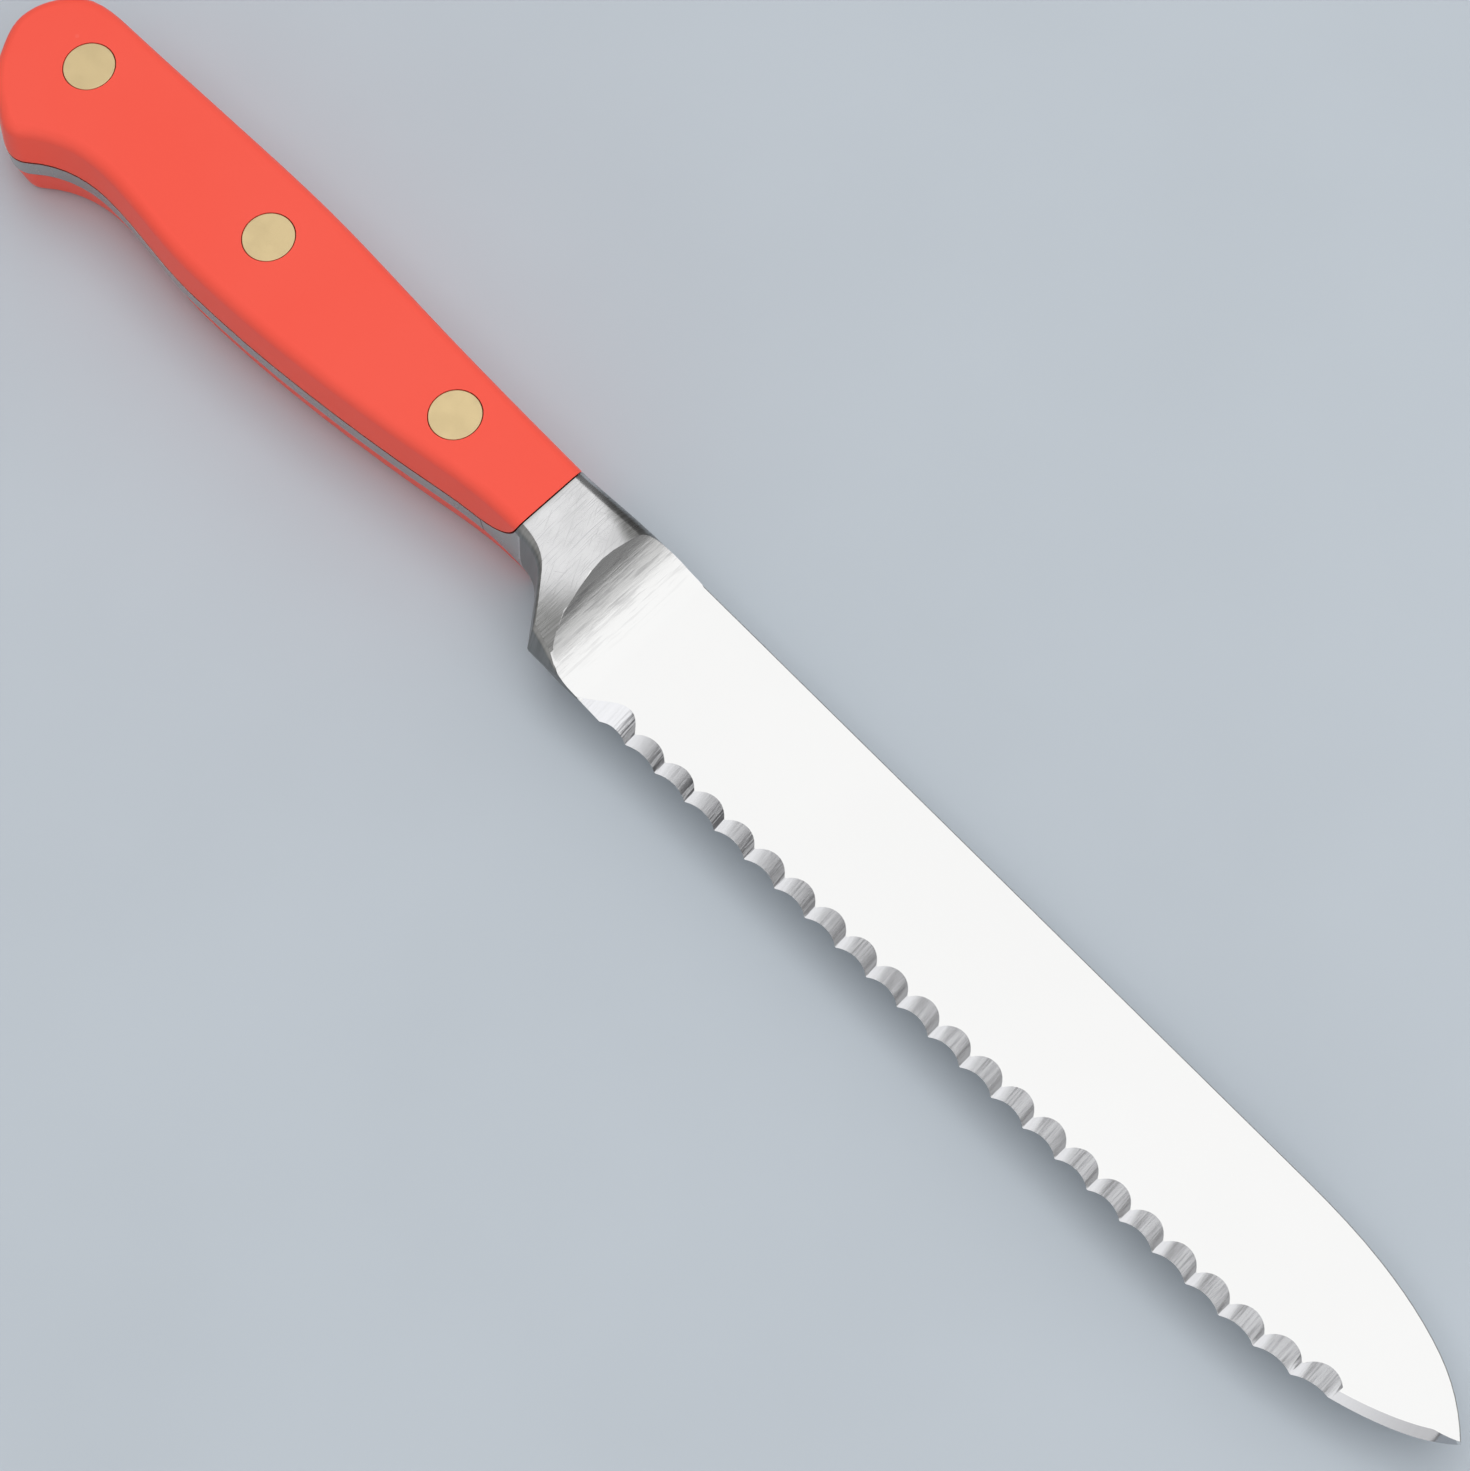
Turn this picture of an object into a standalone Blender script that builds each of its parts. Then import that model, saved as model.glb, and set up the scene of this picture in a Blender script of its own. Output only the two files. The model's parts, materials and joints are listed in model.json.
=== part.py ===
"""Serrated kitchen knife with a forged bolster, a full tang and a riveted two-scale handle.

The knife is drawn with x along it (0 at the shoulder between scales and bolster, tip at +x),
y across it (0 on the rivet line, spine at +y) and z through it (0 in the blade's middle plane,
right face at +z).  An empty then carries the drawing so that the knife lies on its left scale.
"""

import math

import bmesh
import bpy
from mathutils import Vector
from mathutils.geometry import interpolate_bezier

# Handle, measured from the shoulder or from the rear of the butt
HANDLE_LENGTH = 0.0974
HANDLE_THICKNESS = 0.0146
TANG_THICKNESS = 0.0026
SHOULDER_TOP = 0.00665
FRONT_RUN = 0.0260
FRONT_TOP = 0.00755
CREST_RUN = 0.0454
CREST_TOP = 0.0087
BUTT_TOP_RUN = 0.0129
BUTT_TOP = 0.0082
BUTT_CORNER_RUN = 0.0031
BUTT_CORNER_TOP = 0.0059
REAR_LEVEL = 0.0009
HEEL_OF_BUTT_RUN = 0.0027
HEEL_OF_BUTT_DROP = 0.0072
BUTT_SLOPE_RUN = 0.0082
BUTT_SLOPE_DROP = 0.0119
HOOK_RUN = 0.0121
HOOK_DROP = 0.01345
HOOK_LIP_RUN = 0.00235
HOOK_LIP_RISE = 0.00088
NECK_RUN = 0.0252
NECK_DROP = 0.0090
BELLY_RUN = 0.0424
BELLY_DROP = 0.01025
WAIST_RUN = 0.0200
WAIST_DROP = 0.00745
THROAT_RUN = 0.0036
THROAT_DROP = 0.0055
WALL_FOOT = 0.0011
WALL_DRAFT = 9.0
GRIP_ROUNDING = 0.0016
ROOT_RADIUS = 0.0080
GLUE_LINE = 0.0002

# Bolster and heel, measured from the shoulder
SHOULDER_LAND = 0.0002
NOTCH_RUN = 0.0052
NOTCH_DROP = 0.00805
HEEL_RUN = 0.0089
HEEL_DROP = 0.0125
HEEL_SINK = 0.0002
HEEL_DRAFT = 23.0
HEEL_FLAT = 0.0008
HEEL_ROUNDING = 0.0012
SPINE_ROUNDING = 0.0018
BOLSTER_LENGTH = 0.0180
BOLSTER_SLOPE = 0.11
CROWN_LEVEL = 0.0003
CROWN_BLEND = 0.0020
CROWN_FALL = 21.9
BOLSTER_TOP_RUN = 0.0125
BOLSTER_TOP = 0.00728

# Blade
BLADE_LENGTH = 0.1408
EDGE_THICKNESS = 0.0007
SPINE_THICKNESS = 0.0017
HOLLOW_RADIUS = 0.0120
HOLLOW_END = 0.01835
HOLLOW_SKEW = 2.0
FLANK_FADE_RUN = 0.0120
FLANK_END_RUN = 0.0162
SPINE_FALL = 1.1
TIP_CURVE_RUN = 0.0377
TIP_SHOULDER_RUN = 0.0197
TIP_SHOULDER_TOP = 0.00436
TIP_BROW_RUN = 0.0082
TIP_BROW_TOP = 0.00147
TIP_DROP = 0.0039
TIP_SLOPE = 45.0
TIP_RISE = 43.0
TIP_BELLY_RUN = 0.0073
TIP_BELLY_DROP = 0.0083
TIP_LINE_RUN = 0.0287
TIP_LINE_DROP = 0.01213
EDGE_START_RUN = 0.0340
EDGE_START_DROP = 0.01245
TIP_BEVEL_WIDTH = 0.0011
TIP_BEVEL_CLOSE = 0.0030

# Serrations, ground into the right face only
FIRST_TOOTH_RUN = 0.02576
TOOTH_PITCH = 0.00504
FIRST_DEPTH_LEFT = 0.00056
DEEPEST_LEFT = 0.00085
DEEPEST_LEFT_PLACE = 10.5
FIRST_DEPTH_RIGHT = 0.00090
DEEPEST_RIGHT = 0.00133
DEEPEST_RIGHT_PLACE = 12
GULLET_WIDTH = 0.00148
GULLET_DRIFT = 0.00015
RIDGE_LAND = 0.00018
PLAIN_TIP_LENGTH = 0.0134
RAMP_START_RUN = 0.0170
RAMP_START_DROP = 0.0152
RAMP_RISE_RUN = 0.0206
RAMP_RISE_DROP = 0.0132
RAMP_PEAK_RUN = 0.0233
RAMP_PEAK_DROP = 0.0120
RAMP_START_WIDTH = 0.00215
RAMP_RISE_WIDTH = 0.00255
RAMP_PEAK_WIDTH = 0.00243

# Cutlery rivets
RIVET_HEAD_DIAMETER = 0.0065
RIVET_HEAD_THICKNESS = 0.0018
RIVET_SLEEVE_DIAMETER = 0.0040
RIVET_SHANK_DIAMETER = 0.0025
RIVET_CLEARANCE = 0.0001
RIVET_END_GAP = 0.0003
FRONT_RIVET_RUN = 0.01645
REAR_RIVET_RUN = 0.01305
RIVET_LEVEL = 0.0001

# Fineness of the curves
CURVE_STEPS = 7
GULLET_STEPS = 12
ROUNDING_STEPS = 5
CROWN_STEPS = 9
ROOT_STEPS = 12
RIVET_STEPS = 32

HALF_HANDLE = HANDLE_THICKNESS / 2
HALF_TANG = TANG_THICKNESS / 2
TIP_RUN = HEEL_RUN + BLADE_LENGTH
ROOT_BACK = -0.95 * ROOT_RADIUS
PAST = 0.004


def smooth_run(knots, steps=CURVE_STEPS):
    """Points along a smooth curve through knots (x, y, heading in degrees)."""
    points = []
    for (x0, y0, heading0), (x1, y1, heading1) in zip(knots, knots[1:]):
        start = Vector((x0, y0, 0))
        end = Vector((x1, y1, 0))
        turn = math.radians((heading1 - heading0 + 180) % 360 - 180)
        reach = (end - start).length / (3 * math.cos(turn / 4) ** 2)
        leave = Vector((math.cos(math.radians(heading0)), math.sin(math.radians(heading0)), 0))
        arrive = Vector((math.cos(math.radians(heading1)), math.sin(math.radians(heading1)), 0))
        curve = interpolate_bezier(start, start + reach * leave, end - reach * arrive, end, steps + 1)
        points += [(p.x, p.y) for p in curve[:-1]]
    points.append(knots[-1][:2])
    return points


def height_at(line, x):
    """Height of a left-to-right line of points at x."""
    for (x0, y0), (x1, y1) in zip(line, line[1:]):
        if x0 <= x <= x1:
            return y0 + (y1 - y0) * (x - x0) / (x1 - x0)
    raise ValueError("no point of the line at x = %.4f" % x)


def rounded_corner(before, corner, after, radius, steps=ROUNDING_STEPS):
    """Arc points that round the corner between two straight lines."""
    corner = Vector(corner)
    back = (Vector(before) - corner).normalized()
    ahead = (Vector(after) - corner).normalized()
    half_angle = back.angle(ahead) / 2
    centre = corner + (back + ahead).normalized() * (radius / math.sin(half_angle))
    start = corner + back * (radius / math.tan(half_angle)) - centre
    end = corner + ahead * (radius / math.tan(half_angle)) - centre
    sweep = start.angle_signed(end)
    points = []
    for i in range(steps + 1):
        angle = -sweep * i / steps
        turned = Vector((start.x * math.cos(angle) - start.y * math.sin(angle),
                         start.x * math.sin(angle) + start.y * math.cos(angle)))
        points.append(tuple(centre + turned))
    return points


def spine_line():
    """Top outline from the shoulder to the tip, left to right."""
    bolster = smooth_run([(-THROAT_RUN, SHOULDER_TOP, 0.5), (0, SHOULDER_TOP, 1.5),
                          (BOLSTER_TOP_RUN, BOLSTER_TOP, -SPINE_FALL)], 5)
    start = TIP_RUN - TIP_CURVE_RUN
    fall = (start - BOLSTER_TOP_RUN) * math.tan(math.radians(SPINE_FALL))
    tip = smooth_run([(start, BOLSTER_TOP - fall, -SPINE_FALL),
                      (TIP_RUN - TIP_SHOULDER_RUN, TIP_SHOULDER_TOP, -8.5),
                      (TIP_RUN - TIP_BROW_RUN, TIP_BROW_TOP, -21),
                      (TIP_RUN, -TIP_DROP, -TIP_SLOPE)], 6)
    return bolster + tip


def handle_belly():
    """Lower outline from the rear of the butt to the throat of the bolster."""
    rear = -HANDLE_LENGTH
    lip = (rear + HOOK_RUN + HOOK_LIP_RUN, -HOOK_DROP + HOOK_LIP_RISE, 40)
    butt = smooth_run([(rear, -REAR_LEVEL, 270),
                       (rear + HEEL_OF_BUTT_RUN, -HEEL_OF_BUTT_DROP, 302),
                       (rear + BUTT_SLOPE_RUN, -BUTT_SLOPE_DROP, 333),
                       (rear + HOOK_RUN, -HOOK_DROP, 0),
                       lip], 6)
    grip = smooth_run([lip,
                       (rear + NECK_RUN, -NECK_DROP, 0),
                       (rear + BELLY_RUN, -BELLY_DROP, 0),
                       (-WAIST_RUN, -WAIST_DROP, 8),
                       (-THROAT_RUN, -THROAT_DROP, 0)])
    return butt[:-1] + grip


def notch_line():
    """Lower outline from the throat down to the heel corner and along the heel."""
    notch = smooth_run([(-THROAT_RUN, -THROAT_DROP, 0), (NOTCH_RUN, -NOTCH_DROP, -50)], 9)
    return notch + [(HEEL_RUN, -HEEL_DROP), (RAMP_PEAK_RUN, -HEEL_DROP - HEEL_SINK)]


def handle_spine():
    """Upper outline from the throat back over the handle to the rear of the butt."""
    rear = -HANDLE_LENGTH
    return smooth_run([(0, SHOULDER_TOP, 178.5),
                       (-FRONT_RUN, FRONT_TOP, 177.2),
                       (rear + CREST_RUN, CREST_TOP, 180),
                       (rear + BUTT_TOP_RUN, BUTT_TOP, 180.5),
                       (rear + BUTT_CORNER_RUN, BUTT_CORNER_TOP, 225),
                       (rear, -REAR_LEVEL, 270)])


def collection(name):
    found = bpy.data.collections.new(name)
    bpy.context.scene.collection.children.link(found)
    return found


def material(name, colour, roughness, metallic):
    made = bpy.data.materials.new(name)
    made.use_nodes = True
    shader = made.node_tree.nodes["Principled BSDF"]
    shader.inputs["Base Color"].default_value = (*colour, 1)
    shader.inputs["Roughness"].default_value = roughness
    shader.inputs["Metallic"].default_value = metallic
    made.diffuse_color = (*colour, 1)
    return made


def new_object(name, mesh_source, group, frame):
    """Object from a bmesh, carried by the knife's frame."""
    mesh = bpy.data.meshes.new(name)
    bmesh.ops.recalc_face_normals(mesh_source, faces=mesh_source.faces)
    mesh_source.to_mesh(mesh)
    mesh_source.free()
    made = bpy.data.objects.new(name, mesh)
    made.parent = frame
    group.objects.link(made)
    return made


def swept_face(corners, sweep):
    """Solid made by sweeping one flat face along a straight line."""
    bm = bmesh.new()
    face = bm.faces.new([bm.verts.new(corner) for corner in corners])
    swept = bmesh.ops.extrude_face_region(bm, geom=[face])
    moved = [item for item in swept["geom"] if isinstance(item, bmesh.types.BMVert)]
    bmesh.ops.translate(bm, verts=moved, vec=sweep)
    return bm


def grip_form(side):
    """Half of the handle above the tang, with drafted walls and a rounded rim."""
    front = [point for point in notch_line() if point[0] < SHOULDER_LAND]
    end = [(PAST, front[-1][1]), (PAST, SHOULDER_TOP)]
    outline = handle_belly()[:-1] + front + end + handle_spine()[:-1]
    base = side * WALL_FOOT / 2
    bm = swept_face([(x, y, base) for x, y in outline], (0, 0, side * WALL_FOOT / 2))
    crown = max(bm.faces, key=lambda face: side * face.calc_center_median().z)
    draft = math.radians(WALL_DRAFT)
    wall_top = HALF_HANDLE - GRIP_ROUNDING * (1 - math.sin(draft))
    inset = (wall_top - WALL_FOOT) * math.tan(draft)
    levels = [(inset, wall_top)]
    for i in range(1, ROUNDING_STEPS + 1):
        angle = draft + (math.pi / 2 - draft) * i / ROUNDING_STEPS
        levels.append((inset + GRIP_ROUNDING * (math.cos(draft) - math.cos(angle)),
                       HALF_HANDLE - GRIP_ROUNDING * (1 - math.sin(angle))))
    done = (0, WALL_FOOT)
    for level in levels:
        bmesh.ops.inset_region(bm, faces=[crown], thickness=level[0] - done[0], use_even_offset=True)
        for vert in crown.verts:
            vert.co.z = side * level[1]
        done = level
    return bm


def scale_room(side, gap):
    """Space beside the tang and behind the bolster's root, for a scale or to cut the steel."""
    face = HALF_TANG + gap
    rise = HALF_HANDLE - HALF_TANG - ROOT_RADIUS
    centre_x = -SHOULDER_LAND - math.sqrt(ROOT_RADIUS ** 2 - rise ** 2)
    centre_z = HALF_TANG + ROOT_RADIUS
    radius = ROOT_RADIUS - gap
    profile = [(-HANDLE_LENGTH - PAST, face)]
    for i in range(ROOT_STEPS + 1):
        angle = math.pi / 2 * (i / ROOT_STEPS - 1)
        profile.append((centre_x + radius * math.cos(angle), centre_z + radius * math.sin(angle)))
    profile.append((profile[-1][0], HALF_HANDLE + PAST))
    profile.append((-HANDLE_LENGTH - PAST, HALF_HANDLE + PAST))
    width = HOOK_DROP + CREST_TOP + 2 * PAST
    return swept_face([(x, -HOOK_DROP - PAST, side * z) for x, z in profile], (0, width, 0))


def blade_half(y):
    """Half thickness of the flat-ground blade at height y."""
    taper = (SPINE_THICKNESS - EDGE_THICKNESS) / 2 / (BOLSTER_TOP + HEEL_DROP)
    return EDGE_THICKNESS / 2 + taper * (y + HEEL_DROP)


def bolster_half(x, y):
    """Half thickness of the bolster's crowned sides before its front is hollowed."""
    run = max(x - SHOULDER_LAND, 0)
    sag = HALF_HANDLE - BOLSTER_SLOPE * BOLSTER_LENGTH - SPINE_THICKNESS / 2
    middle = HALF_HANDLE - BOLSTER_SLOPE * run - sag * (run / BOLSTER_LENGTH) ** 2
    off = math.hypot(y - CROWN_LEVEL, CROWN_BLEND) - CROWN_BLEND
    return middle - CROWN_FALL * off * run * (1 - run / (2 * BOLSTER_LENGTH))


def hollow_half(x, y):
    """Half thickness that the wheel leaves where it hollows the bolster's front."""
    away = HOLLOW_END - math.tan(math.radians(HOLLOW_SKEW)) * y - x
    away = min(max(away, 0), HOLLOW_RADIUS)
    return blade_half(y) + HOLLOW_RADIUS - math.sqrt(HOLLOW_RADIUS ** 2 - away ** 2)


def bolster_section(x, low, high, shrink):
    """Ring of points round the bolster at x, between its lower and upper outline."""
    low += shrink
    high -= shrink
    along = min(max(x / HEEL_RUN, 0), 1)
    fade = min(max((x - FLANK_FADE_RUN) / (FLANK_END_RUN - FLANK_FADE_RUN), 0), 1)
    over = 0.0001 - shrink

    def side(y):
        """Half thickness, which by the blade stays just outside what the wheel leaves."""
        least = hollow_half(x, y) if x > HOLLOW_END - 0.005 else blade_half(y)
        return max(bolster_half(x, y), least + over) - shrink

    belly_flat = min(WALL_FOOT + (HEEL_FLAT / 2 - WALL_FOOT) * along, 0.6 * side(low))
    belly_flat += (0.9 * side(low) - belly_flat) * fade
    spine_flat = min(WALL_FOOT, 0.6 * side(high))
    spine_flat += (0.9 * side(high) - spine_flat) * fade
    belly_slope = math.tan(math.radians(WALL_DRAFT + (HEEL_DRAFT - WALL_DRAFT) * along))
    spine_slope = math.tan(math.radians(WALL_DRAFT))
    low_corner = (low, side(low))
    high_corner = (high, side(high))
    for i in range(4):
        low_corner = (low + (low_corner[1] - belly_flat) * belly_slope, side(low_corner[0]))
        high_corner = (high - (high_corner[1] - spine_flat) * spine_slope, side(high_corner[0]))
    step = 0.0005
    low_ahead = (low_corner[0] + step, low_corner[1] + side(low_corner[0] + step) - side(low_corner[0]))
    high_back = (high_corner[0] - step, high_corner[1] + side(high_corner[0] - step) - side(high_corner[0]))
    low_radius = min(GRIP_ROUNDING + (HEEL_ROUNDING - GRIP_ROUNDING) * along,
                     0.6 * (low_corner[1] - belly_flat))
    high_radius = min(GRIP_ROUNDING + (SPINE_ROUNDING - GRIP_ROUNDING) * along,
                      0.6 * (high_corner[1] - spine_flat))
    low_arc = rounded_corner((low, belly_flat), low_corner, low_ahead, low_radius)
    high_arc = rounded_corner(high_back, high_corner, (high, spine_flat), high_radius)
    crown = []
    for i in range(1, CROWN_STEPS):
        y = low_arc[-1][0] + (high_arc[0][0] - low_arc[-1][0]) * i / CROWN_STEPS
        crown.append((y, side(y)))
    half = [(low, belly_flat)] + low_arc + crown + high_arc + [(high, spine_flat)]
    return [(x, y, z) for y, z in half] + [(x, y, -z) for y, z in reversed(half)]


def bolster_form():
    """Bolster lofted from the tang to the start of the blade."""
    belly = handle_belly()[:-1] + notch_line()
    spine = [(x, y) for x, y in reversed(handle_spine()) if x < 0]
    spine += [(x, y) for x, y in spine_line() if x >= 0]
    back = ROOT_BACK
    end = HOLLOW_END + 0.0004
    stations = [back + 0.0011, -0.0050, -THROAT_RUN, -0.0018, SHOULDER_LAND]
    stations += [x for x, y in notch_line() if 0.0003 < x < HEEL_RUN - 0.0001]
    stations += [NOTCH_RUN + (HEEL_RUN - NOTCH_RUN) * i / 3 for i in (1, 2, 3)]
    stations += [HEEL_RUN + (end - 0.0013 - HEEL_RUN) * i / 8 for i in range(1, 9)]
    rings = [bolster_section(back, height_at(belly, back), height_at(spine, back), 0.0001)]
    for x in stations:
        rings.append(bolster_section(x, height_at(belly, x), height_at(spine, x), 0))
    rings.append(bolster_section(end, height_at(belly, end), height_at(spine, end), 0.0001))
    bm = bmesh.new()
    loops = [[bm.verts.new(point) for point in ring] for ring in rings]
    for one, two in zip(loops, loops[1:]):
        for i in range(len(one)):
            j = (i + 1) % len(one)
            bm.faces.new((one[i], one[j], two[j], two[i]))
    bm.faces.new(reversed(loops[0]))
    bm.faces.new(loops[-1])
    return bm


def blade_blank():
    """Flat blank of the blade, a little thicker and deeper than the finished blade."""
    start = HOLLOW_END - 0.0006
    spine = spine_line()
    top = [(start, height_at(spine, start))] + [point for point in spine if point[0] > start]
    fall = math.tan(math.radians(TIP_SLOPE))
    top.append((TIP_RUN + PAST, -TIP_DROP - PAST * fall))
    bottom = -HEEL_DROP - HEEL_SINK
    low = bottom - 0.001
    outline = [(start, height_at(notch_line(), start)), (RAMP_PEAK_RUN, bottom),
               (RAMP_PEAK_RUN, low), (TIP_RUN + PAST, low)] + top[::-1]
    half = SPINE_THICKNESS / 2 + 0.0002
    return swept_face([(x, y, -half) for x, y in outline], (0, 0, 2 * half))


def face_grinder(side):
    """Wheel that hollows the bolster's front and grinds one face of the blade flat."""
    level = EDGE_THICKNESS / 2
    depth = HALF_HANDLE + 0.001 - level
    reach = math.acos(1 - depth / HOLLOW_RADIUS)
    steps = 16
    profile = []
    for i in range(steps + 1):
        angle = reach * (1 - i / steps)
        profile.append((HOLLOW_END - HOLLOW_RADIUS * math.sin(angle),
                        level + HOLLOW_RADIUS * (1 - math.cos(angle))))
    far = TIP_RUN + 2 * PAST
    profile += [(far, level), (far, HALF_HANDLE + PAST), (profile[0][0], HALF_HANDLE + PAST)]
    start = -HEEL_DROP - PAST
    sweep = BOLSTER_TOP + HEEL_DROP + 2 * PAST
    tilt = (blade_half(0) - blade_half(-HEEL_DROP)) / HEEL_DROP
    skew = math.tan(math.radians(HOLLOW_SKEW))
    corners = [(x - skew * start, start, side * (z - tilt * PAST)) for x, z in profile]
    return swept_face(corners, (-skew * sweep, sweep, side * tilt * sweep))


def edge_line(steps=10):
    """Line that the tooth tips and the plain edge near the tip lie on."""
    return smooth_run([(HEEL_RUN, -HEEL_DROP, -1),
                       (EDGE_START_RUN, -EDGE_START_DROP, 0.2),
                       (TIP_RUN - TIP_LINE_RUN, -TIP_LINE_DROP, 0.6),
                       (TIP_RUN - TIP_BELLY_RUN, -TIP_BELLY_DROP, 22),
                       (TIP_RUN, -TIP_DROP, TIP_RISE)], steps)


def gullet(start, end, depth):
    """Arc between two tooth tips, which keeps half a ridge's land clear of each."""
    chord = Vector(end) - Vector(start)
    start = Vector(start) + chord.normalized() * (RIDGE_LAND / 2)
    chord -= chord.normalized() * RIDGE_LAND
    radius = (chord.length ** 2 / 4 + depth ** 2) / (2 * depth)
    half = math.asin(chord.length / 2 / radius)
    across = Vector((-chord.y, chord.x)).normalized()
    centre = start + chord / 2 - across * (radius - depth)
    points = []
    for i in range(GULLET_STEPS + 1):
        angle = half * (1 - 2 * i / GULLET_STEPS)
        points.append(centre + radius * (math.cos(angle) * across - math.sin(angle) * chord.normalized()))
    return [tuple(point) for point in points]


def ruled_tool(left, right, half):
    """Cutter ruled between an outline on the blade's left face and one on its right face."""
    bm = bmesh.new()
    rings = []
    for z in (-half - EDGE_THICKNESS, -half, half, half + EDGE_THICKNESS):
        part = (z + half) / (2 * half)
        rings.append([bm.verts.new((x0 + part * (x1 - x0), y0 + part * (y1 - y0), z))
                      for (x0, y0), (x1, y1) in zip(left, right)])
    for one, two in zip(rings, rings[1:]):
        for i in range(len(one)):
            j = (i + 1) % len(one)
            bm.faces.new((one[i], one[j], two[j], two[i]))
    bm.faces.new(reversed(rings[0]))
    bm.faces.new(rings[-1])
    return bm


def tooth_tips():
    """Tips of the regular teeth, from the heel to the plain stretch at the tip."""
    line = edge_line()
    count = round((TIP_RUN - PLAIN_TIP_LENGTH - FIRST_TOOTH_RUN) / TOOTH_PITCH)
    places = [FIRST_TOOTH_RUN + i * TOOTH_PITCH for i in range(count + 1)]
    return [(x, height_at(line, x)) for x in places]


def gullet_depth(number, first, deepest, place):
    """Depth of a gullet: the row deepens from its first gullet to a place along it, then fades."""
    return deepest - (deepest - first) * ((number - place) / place) ** 2


def serration_tool():
    """Cutter for the long run-in by the heel and the regular gullets after it."""
    teeth = tooth_tips()
    first = (teeth[0][0] - RIDGE_LAND / 2, teeth[0][1])
    low = -HEEL_DROP - 2 * PAST
    left = smooth_run([(RAMP_START_RUN, -RAMP_START_DROP, 27),
                       (RAMP_RISE_RUN, -RAMP_RISE_DROP, 28),
                       (RAMP_PEAK_RUN, -RAMP_PEAK_DROP, 0),
                       (*first, -28)], 8)
    right = smooth_run([(RAMP_START_RUN, -RAMP_START_DROP + RAMP_START_WIDTH, 33),
                        (RAMP_RISE_RUN, -RAMP_RISE_DROP + RAMP_RISE_WIDTH, 34),
                        (RAMP_PEAK_RUN, -RAMP_PEAK_DROP + RAMP_PEAK_WIDTH, 0),
                        (first[0] + GULLET_DRIFT, first[1] + GULLET_WIDTH, -48)], 8)
    gullets = []
    for i in range(len(teeth) - 1):
        depth = gullet_depth(i, FIRST_DEPTH_LEFT, DEEPEST_LEFT, DEEPEST_LEFT_PLACE)
        left += gullet(teeth[i], teeth[i + 1], depth)
        depth = gullet_depth(i, FIRST_DEPTH_RIGHT, DEEPEST_RIGHT, DEEPEST_RIGHT_PLACE)
        gullets += gullet(teeth[i], teeth[i + 1], depth)
    right += [(x + GULLET_DRIFT, y + GULLET_WIDTH) for x, y in gullets]
    for side in (left, right):
        side += [(side[-1][0], low), (RAMP_START_RUN, low)]
    return ruled_tool(left, right, EDGE_THICKNESS / 2)


def tip_tool():
    """Cutter for the bevel of the plain edge, which narrows to nothing at the tip."""
    start = tooth_tips()[-1][0] - TOOTH_PITCH / 2
    line = edge_line(24)
    left = [(start, height_at(line, start))]
    left += [point for point in line if point[0] > start + 0.0003]
    right = [(x, y + TIP_BEVEL_WIDTH * min(1, (TIP_RUN - x) / TIP_BEVEL_CLOSE)) for x, y in left]
    beyond = (TIP_RUN + 2 * PAST, -TIP_DROP + 2 * PAST * math.tan(math.radians(TIP_RISE)))
    low = -HEEL_DROP - 2 * PAST
    close = [beyond, (beyond[0], low), (start, low)]
    return ruled_tool(left + close, right + close, blade_half(-TIP_BELLY_DROP))


def rod(x, y, diameter, low, high):
    """Upright round cutter."""
    bm = bmesh.new()
    made = bmesh.ops.create_cone(bm, cap_ends=True, segments=RIVET_STEPS, radius1=diameter / 2,
                                 radius2=diameter / 2, depth=high - low)
    bmesh.ops.translate(bm, verts=made["verts"], vec=(x, y, (low + high) / 2))
    return bm


def shape_with(target, tool, operation):
    """Boolean of a construction body on a part."""
    tool.hide_render = True
    tool.display_type = "WIRE"
    step = target.modifiers.new(tool.name, "BOOLEAN")
    step.operation = operation
    step.solver = "EXACT"
    step.object = tool


def turned(name, profile, group, frame, place):
    """Round piece: a profile from the axis out and down, spun about z."""
    mesh = bpy.data.meshes.new(name)
    edges = [(i, i + 1) for i in range(len(profile) - 1)]
    mesh.from_pydata([(x, 0, z) for x, z in profile], edges, [])
    made = bpy.data.objects.new(name, mesh)
    made.parent = frame
    made.location = place
    group.objects.link(made)
    spin = made.modifiers.new("Turned", "SCREW")
    spin.steps = RIVET_STEPS
    spin.render_steps = RIVET_STEPS
    spin.use_merge_vertices = True
    spin.merge_threshold = 0.00001
    return made


def rivet_places():
    """Rivet centres, with the middle one halfway."""
    rear = -HANDLE_LENGTH + REAR_RIVET_RUN
    front = -FRONT_RIVET_RUN
    return {"rear": rear, "middle": (rear + front) / 2, "front": front}


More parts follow.
